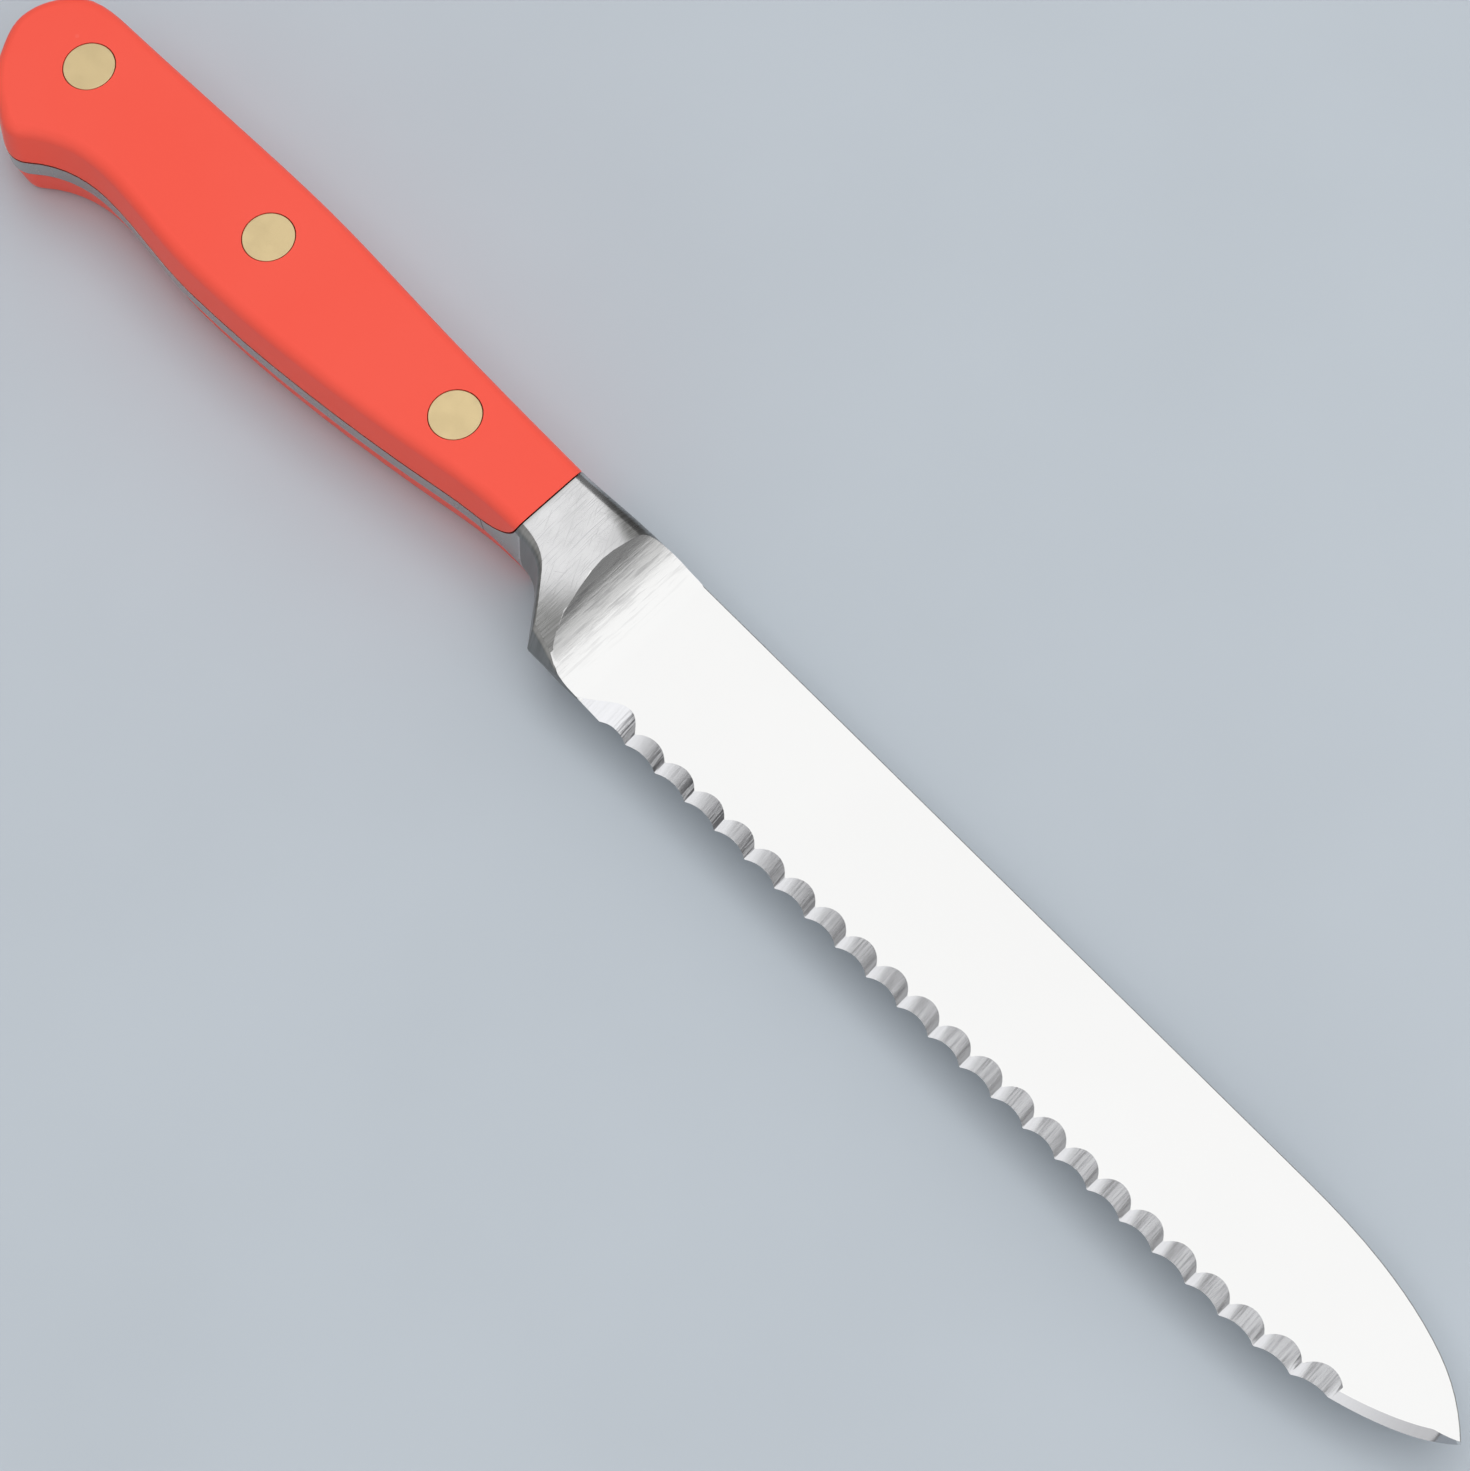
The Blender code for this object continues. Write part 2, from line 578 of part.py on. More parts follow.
def make_steel(parts, tools, frame, finish):
    """Forged blade, bolster and tang in one piece."""
    join = ROOT_BACK + 0.0006
    top_join = (join, height_at(handle_spine()[::-1], join))
    belly_join = (join, height_at(handle_belly(), join))
    back = [point for point in handle_spine() if point[0] < join - 0.0005]
    belly = [point for point in handle_belly() if point[0] < join - 0.0005]
    outline = [top_join] + back + belly[1:] + [belly_join]
    half = HALF_TANG + 0.0003
    steel = new_object("blade_and_tang", swept_face([(x, y, -half) for x, y in outline], (0, 0, 2 * half)),
                       parts, frame)
    steel.data.materials.append(finish)
    shape_with(steel, new_object("bolster_form", bolster_form(), tools, frame), "UNION")
    shape_with(steel, new_object("blade_blank", blade_blank(), tools, frame), "UNION")
    cuts = [("room_right", scale_room(1, 0)), ("room_left", scale_room(-1, 0)),
            ("grinder_right", face_grinder(1)), ("grinder_left", face_grinder(-1)),
            ("serration_tool", serration_tool()), ("tip_tool", tip_tool())]
    hole = RIVET_SLEEVE_DIAMETER + 2 * RIVET_CLEARANCE
    for where, x in rivet_places().items():
        cuts.append(("tang_hole_" + where, rod(x, RIVET_LEVEL, hole, -TANG_THICKNESS, TANG_THICKNESS)))
    for name, body in cuts:
        shape_with(steel, new_object(name, body, tools, frame), "DIFFERENCE")
    return steel


def make_scale(name, side, parts, tools, frame, finish):
    """Handle scale seated on the tang and against the bolster's root."""
    scale = new_object(name, grip_form(side), parts, frame)
    scale.data.materials.append(finish)
    room = new_object("room_for_" + name, scale_room(side, GLUE_LINE), tools, frame)
    shape_with(scale, room, "INTERSECT")
    seat = side * (HALF_HANDLE - RIVET_HEAD_THICKNESS - RIVET_CLEARANCE)
    outer = side * (HALF_HANDLE + PAST)
    hole = RIVET_SLEEVE_DIAMETER + 2 * RIVET_CLEARANCE
    bore = RIVET_HEAD_DIAMETER + 2 * RIVET_CLEARANCE
    for where, x in rivet_places().items():
        for use, size, low, high in (("hole", hole, 0, outer), ("counterbore", bore, seat, outer)):
            body = rod(x, RIVET_LEVEL, size, min(low, high), max(low, high))
            cutter = new_object("%s_%s_%s" % (name, use, where), body, tools, frame)
            shape_with(scale, cutter, "DIFFERENCE")
    return scale


def make_rivet(where, x, parts, frame, finish):
    """Two-piece rivet: a headed post from the right, a headed sleeve from the left."""
    head = RIVET_HEAD_DIAMETER / 2
    sleeve = RIVET_SLEEVE_DIAMETER / 2
    shank = RIVET_SHANK_DIAMETER / 2
    bore = shank + RIVET_CLEARANCE
    under_head = HALF_HANDLE - RIVET_HEAD_THICKNESS
    chamfer = 0.0003
    post = [(0, HALF_HANDLE), (head, HALF_HANDLE), (head, under_head), (shank, under_head),
            (shank, -under_head + RIVET_END_GAP + chamfer),
            (shank - chamfer, -under_head + RIVET_END_GAP), (0, -under_head + RIVET_END_GAP)]
    tube = [(0, -under_head), (bore, -under_head), (bore, under_head - RIVET_END_GAP),
            (sleeve, under_head - RIVET_END_GAP), (sleeve, -under_head), (head, -under_head),
            (head, -HALF_HANDLE), (0, -HALF_HANDLE)]
    place = (x, RIVET_LEVEL, 0)
    for name, profile in (("rivet_post_" + where, post), ("rivet_sleeve_" + where, tube)):
        piece = turned(name, profile, parts, frame, place)
        piece.data.materials.append(finish)


def stand_on_origin(parts, frame):
    """Move the knife so that the middle of its underside is at the origin."""
    bpy.context.view_layer.update()
    graph = bpy.context.evaluated_depsgraph_get()
    corners = []
    for part in parts.objects:
        if part.type == "MESH":
            mesh = part.evaluated_get(graph).to_mesh()
            corners += [part.matrix_world @ vert.co for vert in mesh.vertices]
    low = Vector([min(corner[i] for corner in corners) for i in range(3)])
    high = Vector([max(corner[i] for corner in corners) for i in range(3)])
    frame.location = (-(low.x + high.x) / 2, -(low.y + high.y) / 2, -low.z)


def main():
    for old in list(bpy.data.objects):
        bpy.data.objects.remove(old)
    parts = collection("tomato_knife")
    tools = collection("construction_bodies")

    frame = bpy.data.objects.new("knife_frame", None)
    parts.objects.link(frame)

    steel = material("brushed_steel", (0.72, 0.72, 0.71), 0.3, 1.0)
    plastic = material("coral_plastic", (0.93, 0.13, 0.09), 0.45, 0.0)
    brass = material("brass", (0.66, 0.55, 0.28), 0.35, 1.0)

    make_steel(parts, tools, frame, steel)
    make_scale("handle_scale_right", 1, parts, tools, frame, plastic)
    make_scale("handle_scale_left", -1, parts, tools, frame, plastic)
    for where, x in rivet_places().items():
        make_rivet(where, x, parts, frame, brass)
    stand_on_origin(parts, frame)


main()
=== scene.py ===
"""Finish of a serrated tomato knife: ground steel, coral handle scales and brass rivets.

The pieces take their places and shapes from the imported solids.  Each operator below makes one
piece, one group of like pieces or the stage.  Lengths are in metres, x runs from butt to tip, y
from edge to spine and z out of the right face, which lies upwards.
"""

import json
import math

import bpy
from bpy.props import FloatProperty, FloatVectorProperty, IntProperty, PointerProperty
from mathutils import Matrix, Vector

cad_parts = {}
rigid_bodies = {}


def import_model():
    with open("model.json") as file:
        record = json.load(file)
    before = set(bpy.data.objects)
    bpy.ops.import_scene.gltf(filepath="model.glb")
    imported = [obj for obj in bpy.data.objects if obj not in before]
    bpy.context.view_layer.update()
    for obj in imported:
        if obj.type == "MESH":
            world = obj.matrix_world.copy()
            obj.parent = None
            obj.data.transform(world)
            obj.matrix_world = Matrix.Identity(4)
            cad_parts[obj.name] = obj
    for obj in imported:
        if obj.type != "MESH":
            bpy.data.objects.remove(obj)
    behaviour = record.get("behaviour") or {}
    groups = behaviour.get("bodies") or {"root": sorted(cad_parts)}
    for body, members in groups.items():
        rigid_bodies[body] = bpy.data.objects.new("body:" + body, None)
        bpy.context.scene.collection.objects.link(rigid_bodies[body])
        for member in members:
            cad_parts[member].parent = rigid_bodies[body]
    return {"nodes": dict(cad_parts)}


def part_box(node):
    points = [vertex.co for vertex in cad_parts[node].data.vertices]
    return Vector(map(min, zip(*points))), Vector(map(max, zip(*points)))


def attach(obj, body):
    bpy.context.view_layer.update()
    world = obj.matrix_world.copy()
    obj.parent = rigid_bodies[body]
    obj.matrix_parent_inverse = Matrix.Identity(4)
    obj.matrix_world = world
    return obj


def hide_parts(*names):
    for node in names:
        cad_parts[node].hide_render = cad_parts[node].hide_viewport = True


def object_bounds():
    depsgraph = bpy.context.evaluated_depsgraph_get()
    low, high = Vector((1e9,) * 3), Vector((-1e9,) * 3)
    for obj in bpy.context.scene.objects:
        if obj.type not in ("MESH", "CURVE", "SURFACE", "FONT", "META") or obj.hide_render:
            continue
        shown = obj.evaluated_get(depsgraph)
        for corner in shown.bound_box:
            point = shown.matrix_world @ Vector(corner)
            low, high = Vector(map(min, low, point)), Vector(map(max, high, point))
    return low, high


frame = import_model()
CAD_BOX = [list(corner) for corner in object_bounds()]

bl_info = {
    "name": "Tomato Knife Finish",
    "version": (1, 0, 0),
    "blender": (4, 5, 0),
    "location": "View3D > Sidebar > Tomato Knife",
    "description": "Gives a serrated tomato knife its steel, handle and rivet finishes and a stage",
    "category": "Object",
}

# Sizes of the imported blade, by which the kinds of its faces are told apart.
EDGE_HALF = 0.00035  # half of the blade's thickness at the edge
BLADE_HALF = 0.00085  # half of it at the spine
BLADE_TAPER = 0.02528  # what half the thickness gains for each metre of height
HEEL_DROP = 0.0125  # from the bolster's axis down to the heel's edge
AXIS_LEVEL = 0.0024  # y of the bolster's axis
HOLLOW_SKEW = math.radians(2)
CREST_REACH = 0.0022  # from the start of the flat blade back over the hollow's curved crest
BOLSTER_BODY = 0.009  # from the bolster's rear end to its hollow
ABOVE_HOLLOW = 0.00004  # a corner that stands out by more isn't on the hollow
BELOW_BLADE = 0.0002  # nor is one that lies deeper than this under the blade's face
JOIN_BLEND = 0.0004  # to each side of the bolster's rear end, where tang steel gives way
FLAT_MARGIN = 0.001  # from the start of the flat blade back into the hollow

SAME_PLACE = 0.000001
FLAT_ANGLE = math.radians(0.2)
POST_CLEARANCE = 0.0001

RIVETS = ("rear", "middle", "front")
SCALES = {"handle_scale_right": "right_scale", "handle_scale_left": "left_scale"}


class SteelSettings(bpy.types.PropertyGroup):
    """Sizes and colours of the blade, bolster and tang"""

    colour: FloatVectorProperty(
        name="Steel", description="Reflection colour of the ground steel",
        subtype="COLOR", default=(0.79, 0.79, 0.785), min=0, max=1)
    bolster: FloatVectorProperty(
        name="Bolster steel", description="Reflection colour of the scratched bolster",
        subtype="COLOR", default=(0.635, 0.635, 0.64), min=0, max=1)
    # Painted shade: the tang's steel is darker than the blade's, standing in for the shade it lies
    # in between the scales.
    tang: FloatVectorProperty(
        name="Tang steel", description="Reflection colour of the tang between the scales",
        subtype="COLOR", default=(0.44, 0.44, 0.43), min=0, max=1)
    gullet: FloatVectorProperty(
        name="Gullet steel", description="Reflection colour of the wheel-ground serrations",
        subtype="COLOR", default=(0.74, 0.745, 0.765), min=0, max=1)
    # Also the colour of the painted shade on the serrations' far sides and towards the tip.
    stain_and_shade: FloatVectorProperty(
        name="Stain and shade steel", description="Reflection colour of scratches and burnt grinding lines",
        subtype="COLOR", default=(0.16, 0.16, 0.17), min=0, max=1)
    # Painted shade: a dark steel colour that stands in for the dark reflections on the heel's flank
    # and along the bolster's front and spine side.
    shade_colour: FloatVectorProperty(
        name="Painted shade steel", description="Reflection colour of the forged flank of the heel",
        subtype="COLOR", default=(0.20, 0.20, 0.195), min=0, max=1)
    blade_roughness: FloatProperty(
        name="Blade roughness", description="Roughness of the blade's satin face",
        default=0.26, min=0, max=1, subtype="FACTOR")
    bolster_roughness: FloatProperty(
        name="Bolster roughness", description="Roughness of the brushed bolster",
        default=0.24, min=0, max=1, subtype="FACTOR")
    gullet_roughness: FloatProperty(
        name="Gullet roughness", description="Roughness of the wheel-ground serrations",
        default=0.17, min=0, max=1, subtype="FACTOR")
    grain_width: FloatProperty(
        name="Grain width", description="Width of one coarse grinding line",
        default=0.00042, min=0.00001, unit="LENGTH", precision=5)
    grain_length: FloatProperty(
        name="Grain length", description="Length of one grinding line",
        default=0.006, min=0.0001, unit="LENGTH", precision=4)
    grain_depth: FloatProperty(
        name="Grain depth", description="Depth of the grinding lines in the hollow and gullets",
        default=0.00003, min=0, unit="LENGTH", precision=6)
    blade_reach: FloatProperty(
        name="Blade reach", description="Distance from the bolster's rear end to the tip",
        default=0.1497, unit="LENGTH", precision=4)
    hollow_end: FloatProperty(
        name="Hollow end", description="Distance from the bolster's rear end to the flat blade",
        default=0.01835, unit="LENGTH", precision=5)
    hollow_radius: FloatProperty(
        name="Hollow radius", description="Radius of the wheel that hollows the bolster's front",
        default=0.0120, unit="LENGTH", precision=4)
    spine_bevel: FloatProperty(
        name="Spine bevel", description="Width of the rounding along the blade's spine",
        default=0.00014, min=0, unit="LENGTH", precision=5)
    soft_angle: FloatProperty(
        name="Soft angle", description="Bolster faces that meet at less than this look round",
        subtype="ANGLE", default=math.radians(30))
    crisp_angle: FloatProperty(
        name="Crisp angle", description="Blade faces that meet at more than this stay crisp",
        subtype="ANGLE", default=math.radians(22))


class HandleSettings(bpy.types.PropertyGroup):
    """Sizes and colours of the handle scales"""

    colour: FloatVectorProperty(
        name="Coral", description="Colour of the handle scales",
        subtype="COLOR", default=(0.99, 0.109, 0.072), min=0, max=1)
    pale: FloatVectorProperty(
        name="Pale coral", description="Lighter colour of faint mottling and specks",
        subtype="COLOR", default=(0.995, 0.142, 0.102), min=0, max=1)
    roughness: FloatProperty(
        name="Roughness", description="Roughness of the moulded, polished plastic",
        default=0.40, min=0, max=1, subtype="FACTOR")
    gloss: FloatProperty(
        name="Gloss", description="Strength of the plastic's sheen",
        default=0.12, min=0, max=1, subtype="FACTOR")
    peel_size: FloatProperty(
        name="Polish ripple", description="Distance between the polish's faint ripples",
        default=0.0009, min=0.0001, unit="LENGTH", precision=4)
    peel_depth: FloatProperty(
        name="Ripple depth", description="Depth of the polish's faint ripples",
        default=0.000004, min=0, unit="LENGTH", precision=6)
    soft_angle: FloatProperty(
        name="Soft angle", description="Scale faces that meet at less than this look round",
        subtype="ANGLE", default=math.radians(32))


class RivetSettings(bpy.types.PropertyGroup):
    """Sizes and colours of the cutlery rivets"""

    colour: FloatVectorProperty(
        name="Brass", description="Reflection colour of the ground brass",
        subtype="COLOR", default=(0.70, 0.555, 0.31), min=0, max=1)
    roughness: FloatProperty(
        name="Roughness", description="Roughness of the ground brass faces",
        default=0.36, min=0, max=1, subtype="FACTOR")
    rim: FloatProperty(
        name="Rim", description="Width of the head's rounded rim",
        default=0.00009, min=0, unit="LENGTH", precision=5)
    shank: FloatProperty(
        name="Post", description="Diameter of the post inside the sleeve",
        default=0.0025, unit="LENGTH", precision=4)
    sleeve: FloatProperty(
        name="Sleeve", description="Outer diameter of the sleeve",
        default=0.0040, unit="LENGTH", precision=4)
    head_height: FloatProperty(
        name="Head", description="Thickness of a rivet head",
        default=0.0018, unit="LENGTH", precision=4)
    sides: IntProperty(
        name="Sides", description="Sides of a rivet's circle", default=96, min=12)
    soft_angle: FloatProperty(
        name="Soft angle", description="Rivet faces that meet at less than this look round",
        subtype="ANGLE", default=math.radians(30))


class StageSettings(bpy.types.PropertyGroup):
    """Floor, light and camera"""

    floor_colour: FloatVectorProperty(
        name="Floor", description="Colour of the pale floor",
        subtype="COLOR", default=(0.545, 0.60, 0.655), min=0, max=1)
    floor_size: FloatProperty(
        name="Floor size", description="Side of the square floor",
        default=6.0, unit="LENGTH")
    room_level: FloatProperty(
        name="Room level", description="Brightness of the room around the lamps",
        default=0.22, min=0)
    camera_place: FloatVectorProperty(
        name="Camera", description="Where the camera stands",
        subtype="TRANSLATION", default=(0.22020, -0.11714, 0.54706), precision=5)
    camera_turn: FloatVectorProperty(
        name="Camera turn", description="How the camera is turned",
        subtype="EULER", default=[math.radians(a) for a in (23.414, 6.160, 47.299)])
    camera_lens: FloatProperty(
        name="Lens", description="Focal length in millimetres on a 36 mm wide sensor",
        default=126.64, min=1)


# Name, place, target, width and height, brightness, and which kind of reflection it gives.
LAMPS = (
    ("overhead_softbox", (-0.175, 0.05, 1.0), (-0.175, 0.05, 0), (1.55, 1.10), 1.00, "both"),
    ("front_softbox", (0.30, -0.70, 0.45), (0.30, 0, 0), (1.60, 0.80), 0.85, "glossy"),
    ("butt_softbox", (-0.95, -0.40, 0.42), (0, 0, 0), (0.90, 0.70), 0.24, "both"),
    ("side_softbox", (0.70, 0.18, 0.70), (0.70, 0.18, 0), (0.56, 0.64), 0.55, "both"),
    ("key_lamp", (-0.30, 0.70, 0.85), (0, 0, 0), (1.3, 1.3), 0.80, "matt"),
    ("fill_lamp", (0.80, -0.10, 0.65), (0, 0, 0), (1.3, 1.3), 0.70, "matt"),
    ("low_lamp", (0.10, -0.90, 0.22), (0, 0, 0), (1.4, 0.4), 0.70, "matt"),
)


def deselect_all():
    for other in bpy.context.view_layer.objects:
        other.select_set(False)


def make_active(piece):
    deselect_all()
    piece.select_set(True)
    bpy.context.view_layer.objects.active = piece


def select_faces(piece, test):
    """Enter edit mode with only those faces selected that pass the test."""
    bpy.ops.object.mode_set(mode="EDIT")
    bpy.ops.mesh.select_mode(type="FACE")
    bpy.ops.mesh.select_all(action="DESELECT")
    bpy.ops.object.mode_set(mode="OBJECT")
    for face in piece.data.polygons:
        face.select = test(face)
    bpy.ops.object.mode_set(mode="EDIT")


def select_edges(piece, test):
    """Enter edit mode with only those edges selected that pass a test of them and their faces."""
    make_active(piece)
    bpy.ops.object.mode_set(mode="EDIT")
    bpy.ops.mesh.select_mode(type="EDGE")
    bpy.ops.mesh.select_all(action="DESELECT")
    bpy.ops.object.mode_set(mode="OBJECT")
    mesh = piece.data
    sides = {}
    for face in mesh.polygons:
        for key in face.edge_keys:
            sides.setdefault(key, []).append(face)
    for edge in mesh.edges:
        pair = sides.get(edge.key, [])
        edge.select = len(pair) == 2 and test(edge, pair)
    bpy.ops.object.mode_set(mode="EDIT")


def edge_start(piece, edge):
    """Lowest x of an edge."""
    return min(piece.data.vertices[corner].co.x for corner in edge.vertices)


def turn_between(sides):
    """Angle through which the surface turns from one face to the next."""
    return sides[0].normal.angle(sides[1].normal, 0)


def mark_sharp(piece, test):
    """Keep the edges that pass the test crisp in smooth shading."""
    select_edges(piece, test)
    bpy.ops.mesh.mark_sharp()
    bpy.ops.mesh.select_mode(type="FACE")
    bpy.ops.object.mode_set(mode="OBJECT")


def refined_copy(node, name):
    """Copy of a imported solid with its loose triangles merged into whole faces."""
    mesh = frame["nodes"][node].data.copy()
    mesh.name = name
    mesh.materials.clear()
    piece = bpy.data.objects.new(name, mesh)
    bpy.context.scene.collection.objects.link(piece)
    make_active(piece)
    bpy.ops.mesh.customdata_custom_splitnormals_clear()
    bpy.ops.object.mode_set(mode="EDIT")
    bpy.ops.mesh.select_all(action="SELECT")
    bpy.ops.mesh.remove_doubles(threshold=SAME_PLACE)
    bpy.ops.mesh.dissolve_limited(angle_limit=FLAT_ANGLE)
    bpy.ops.object.mode_set(mode="OBJECT")
    return piece


def weigh_normals(piece):
    """Let large faces look flat beside the curves that run into them."""
    make_active(piece)
    step = piece.modifiers.new("Weighted normals", "WEIGHTED_NORMAL")
    step.mode = "FACE_AREA"
    step.weight = 100
    step.keep_sharp = True
    bpy.ops.object.modifier_apply(modifier=step.name)


def finish_piece(piece, slot, *nodes):
    """Say what the piece rides on and hide the nodes that it replaces; the slot is not used."""
    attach(piece, "root")
    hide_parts(*nodes)


def new_group(name, inputs, outputs):
    """Empty shader node group with float or vector inputs and float outputs."""
    group = bpy.data.node_groups.new(name, "ShaderNodeTree")
    for label, kind, value in inputs:
        socket = group.interface.new_socket(name=label, in_out="INPUT", socket_type=kind)
        if value is not None:
            socket.default_value = value
    for label in outputs:
        group.interface.new_socket(name=label, in_out="OUTPUT", socket_type="NodeSocketFloat")
    return group, group.nodes.new("NodeGroupInput"), group.nodes.new("NodeGroupOutput")


def math_node(tree, operation, first, second):
    """Output of a maths node; each of its inputs is a socket or a plain number."""
    node = tree.nodes.new("ShaderNodeMath")
    node.operation = operation
    for socket, value in zip(node.inputs, (first, second)):
        if isinstance(value, bpy.types.NodeSocket):
            tree.links.new(value, socket)
        else:
            socket.default_value = value
    return node.outputs[0]


def product(tree, first, second):
    return math_node(tree, "MULTIPLY", first, second)


def range_node(tree, value, low, high, start=0.0, end=1.0):
    """Smooth change from start to end as the value goes from low to high, or down to it."""
    node = tree.nodes.new("ShaderNodeMapRange")
    node.interpolation_type = "SMOOTHSTEP"
    tree.links.new(value, node.inputs["Value"])
    for label, number in (("From Min", low), ("From Max", high), ("To Min", start), ("To Max", end)):
        node.inputs[label].default_value = number
    return node.outputs["Result"]


def streak_group():
    """Lines along y, as a grinding wheel leaves them: noise drawn out across x."""
    found = bpy.data.node_groups.get("Ground streaks")
    if found:
        return found
    group, entry, leave = new_group(
        "Ground streaks",
        [("Vector", "NodeSocketVector", None), ("Width", "NodeSocketFloat", 0.0001),
         ("Length", "NodeSocketFloat", 0.006), ("Turn", "NodeSocketFloat", 0.0),
         ("Detail", "NodeSocketFloat", 3.0)],
        ["Height"])
    turn = group.nodes.new("ShaderNodeVectorRotate")
    turn.rotation_type = "Z_AXIS"
    group.links.new(entry.outputs["Vector"], turn.inputs["Vector"])
    group.links.new(entry.outputs["Turn"], turn.inputs["Angle"])
    across = math_node(group, "DIVIDE", 1.0, entry.outputs["Width"])
    along = math_node(group, "DIVIDE", 1.0, entry.outputs["Length"])
    stretch = group.nodes.new("ShaderNodeCombineXYZ")
    group.links.new(across, stretch.inputs["X"])
    group.links.new(along, stretch.inputs["Y"])
    group.links.new(along, stretch.inputs["Z"])
    scaled = group.nodes.new("ShaderNodeVectorMath")
    scaled.operation = "MULTIPLY"
    group.links.new(turn.outputs[0], scaled.inputs[0])
    group.links.new(stretch.outputs[0], scaled.inputs[1])
    noise = group.nodes.new("ShaderNodeTexNoise")
    noise.inputs["Scale"].default_value = 1.0
    noise.inputs["Roughness"].default_value = 0.6
    group.links.new(scaled.outputs[0], noise.inputs["Vector"])
    group.links.new(entry.outputs["Detail"], noise.inputs["Detail"])
    group.links.new(noise.outputs["Fac"], leave.inputs["Height"])
    return group


def scratch_group():
    """Mask of separate hairline scratches: the peaks of strongly drawn-out noise."""
    found = bpy.data.node_groups.get("Hairline scratches")
    if found:
        return found
    group, entry, leave = new_group(
        "Hairline scratches",
        [("Vector", "NodeSocketVector", None), ("Width", "NodeSocketFloat", 0.0001),
         ("Length", "NodeSocketFloat", 0.003), ("Turn", "NodeSocketFloat", 0.0),
         ("Rarity", "NodeSocketFloat", 0.62)],
        ["Mask"])
    streaks = group.nodes.new("ShaderNodeGroup")
    streaks.node_tree = streak_group()
    for label in ("Vector", "Width", "Length", "Turn"):
        group.links.new(entry.outputs[label], streaks.inputs[label])
    streaks.inputs["Detail"].default_value = 1.0
    over = math_node(group, "SUBTRACT", streaks.outputs["Height"], entry.outputs["Rarity"])
    steepness = 14.0
    sharp = product(group, over, steepness)
    clamp = group.nodes.new("ShaderNodeClamp")
    group.links.new(sharp, clamp.inputs["Value"])
    group.links.new(clamp.outputs[0], leave.inputs["Mask"])
    return group


def cloud_group():
    """Soft patches, as handling and polishing leave them."""
    found = bpy.data.node_groups.get("Soft patches")
    if found:
        return found
    group, entry, leave = new_group(
        "Soft patches",
        [("Vector", "NodeSocketVector", None), ("Size", "NodeSocketFloat", 0.01)],
        ["Amount"])
    scale = math_node(group, "DIVIDE", 1.0, entry.outputs["Size"])
    noise = group.nodes.new("ShaderNodeTexNoise")
    noise.inputs["Detail"].default_value = 3.0
    group.links.new(entry.outputs["Vector"], noise.inputs["Vector"])
    group.links.new(scale, noise.inputs["Scale"])
    amount = range_node(group, noise.outputs["Fac"], low=0.3, high=0.7)
    group.links.new(amount, leave.inputs["Amount"])
    return group


def new_material(name, metallic, roughness):
    """Material with its Principled BSDF and the piece's own object coordinates."""
    made = bpy.data.materials.new(name)
    made.use_nodes = True
    tree = made.node_tree
    shader = tree.nodes["Principled BSDF"]
    shader.inputs["Metallic"].default_value = metallic
    shader.inputs["Roughness"].default_value = roughness
    place = tree.nodes.new("ShaderNodeTexCoord").outputs["Object"]
    return made, tree, shader, place


def use_group(tree, group, place, **values):
    """First output of a shader group that stands in the tree with values of its own."""
    node = tree.nodes.new("ShaderNodeGroup")
    node.node_tree = group
    tree.links.new(place, node.inputs["Vector"])
    for label, value in values.items():
        node.inputs[label].default_value = value
    return node.outputs[0]


def mix_colours(tree, amount, first, second):
    """From the first colour at amount 0 to the second at 1."""
    node = tree.nodes.new("ShaderNodeMix")
    node.data_type = "RGBA"
    tree.links.new(amount, node.inputs["Factor"])
    for socket, value in ((node.inputs["A"], first), (node.inputs["B"], second)):
        if isinstance(value, bpy.types.NodeSocket):
            tree.links.new(value, socket)
        else:
            socket.default_value = (*value, 1)
    return node.outputs["Result"]


def bump(tree, shader, height, depth):
    node = tree.nodes.new("ShaderNodeBump")
    node.inputs["Distance"].default_value = depth
    tree.links.new(height, node.inputs["Height"])
    tree.links.new(node.outputs["Normal"], shader.inputs["Normal"])


def axis_parts(tree, vector):
    """Separate outputs for a vector's x, y and z."""
    parts = tree.nodes.new("ShaderNodeSeparateXYZ")
    tree.links.new(vector, parts.inputs[0])
    return parts.outputs


def times(colour, factor):
    return [factor * part for part in colour]


def blade_material(settings, shoulder):
    """Satin blade with coarse wheel lines that fade out where its hollow runs into the flat."""
    made, tree, shader, place = new_material("ground_steel", 1.0, settings.blade_roughness)
    run = axis_parts(tree, place)["X"]
    lines_end = shoulder + settings.hollow_end - FLAT_MARGIN
    lines_full = shoulder + settings.hollow_end - 0.007
    hollow = range_node(tree, run, lines_end, lines_full)
    grain = use_group(tree, streak_group(), place, Width=settings.grain_width,
                      Length=settings.grain_length)
    fine = use_group(tree, streak_group(), place, Width=settings.grain_width / 8,
                     Length=settings.grain_length / 2)
    fine_share = 0.04
    height = math_node(tree, "ADD", product(tree, grain, hollow), product(tree, fine, fine_share))
    bump(tree, shader, height, settings.grain_depth)
    darkened = product(tree, range_node(tree, grain, low=0.48, high=0.66, end=0.32), hollow)
    tree.links.new(mix_colours(tree, darkened, settings.colour, settings.stain_and_shade),
                   shader.inputs["Base Color"])
    patches = use_group(tree, cloud_group(), place, Size=0.03)
    rough = range_node(tree, patches, low=0, high=1, start=settings.blade_roughness - 0.01,
                       end=settings.blade_roughness + 0.01)
    tree.links.new(rough, shader.inputs["Roughness"])
    return made


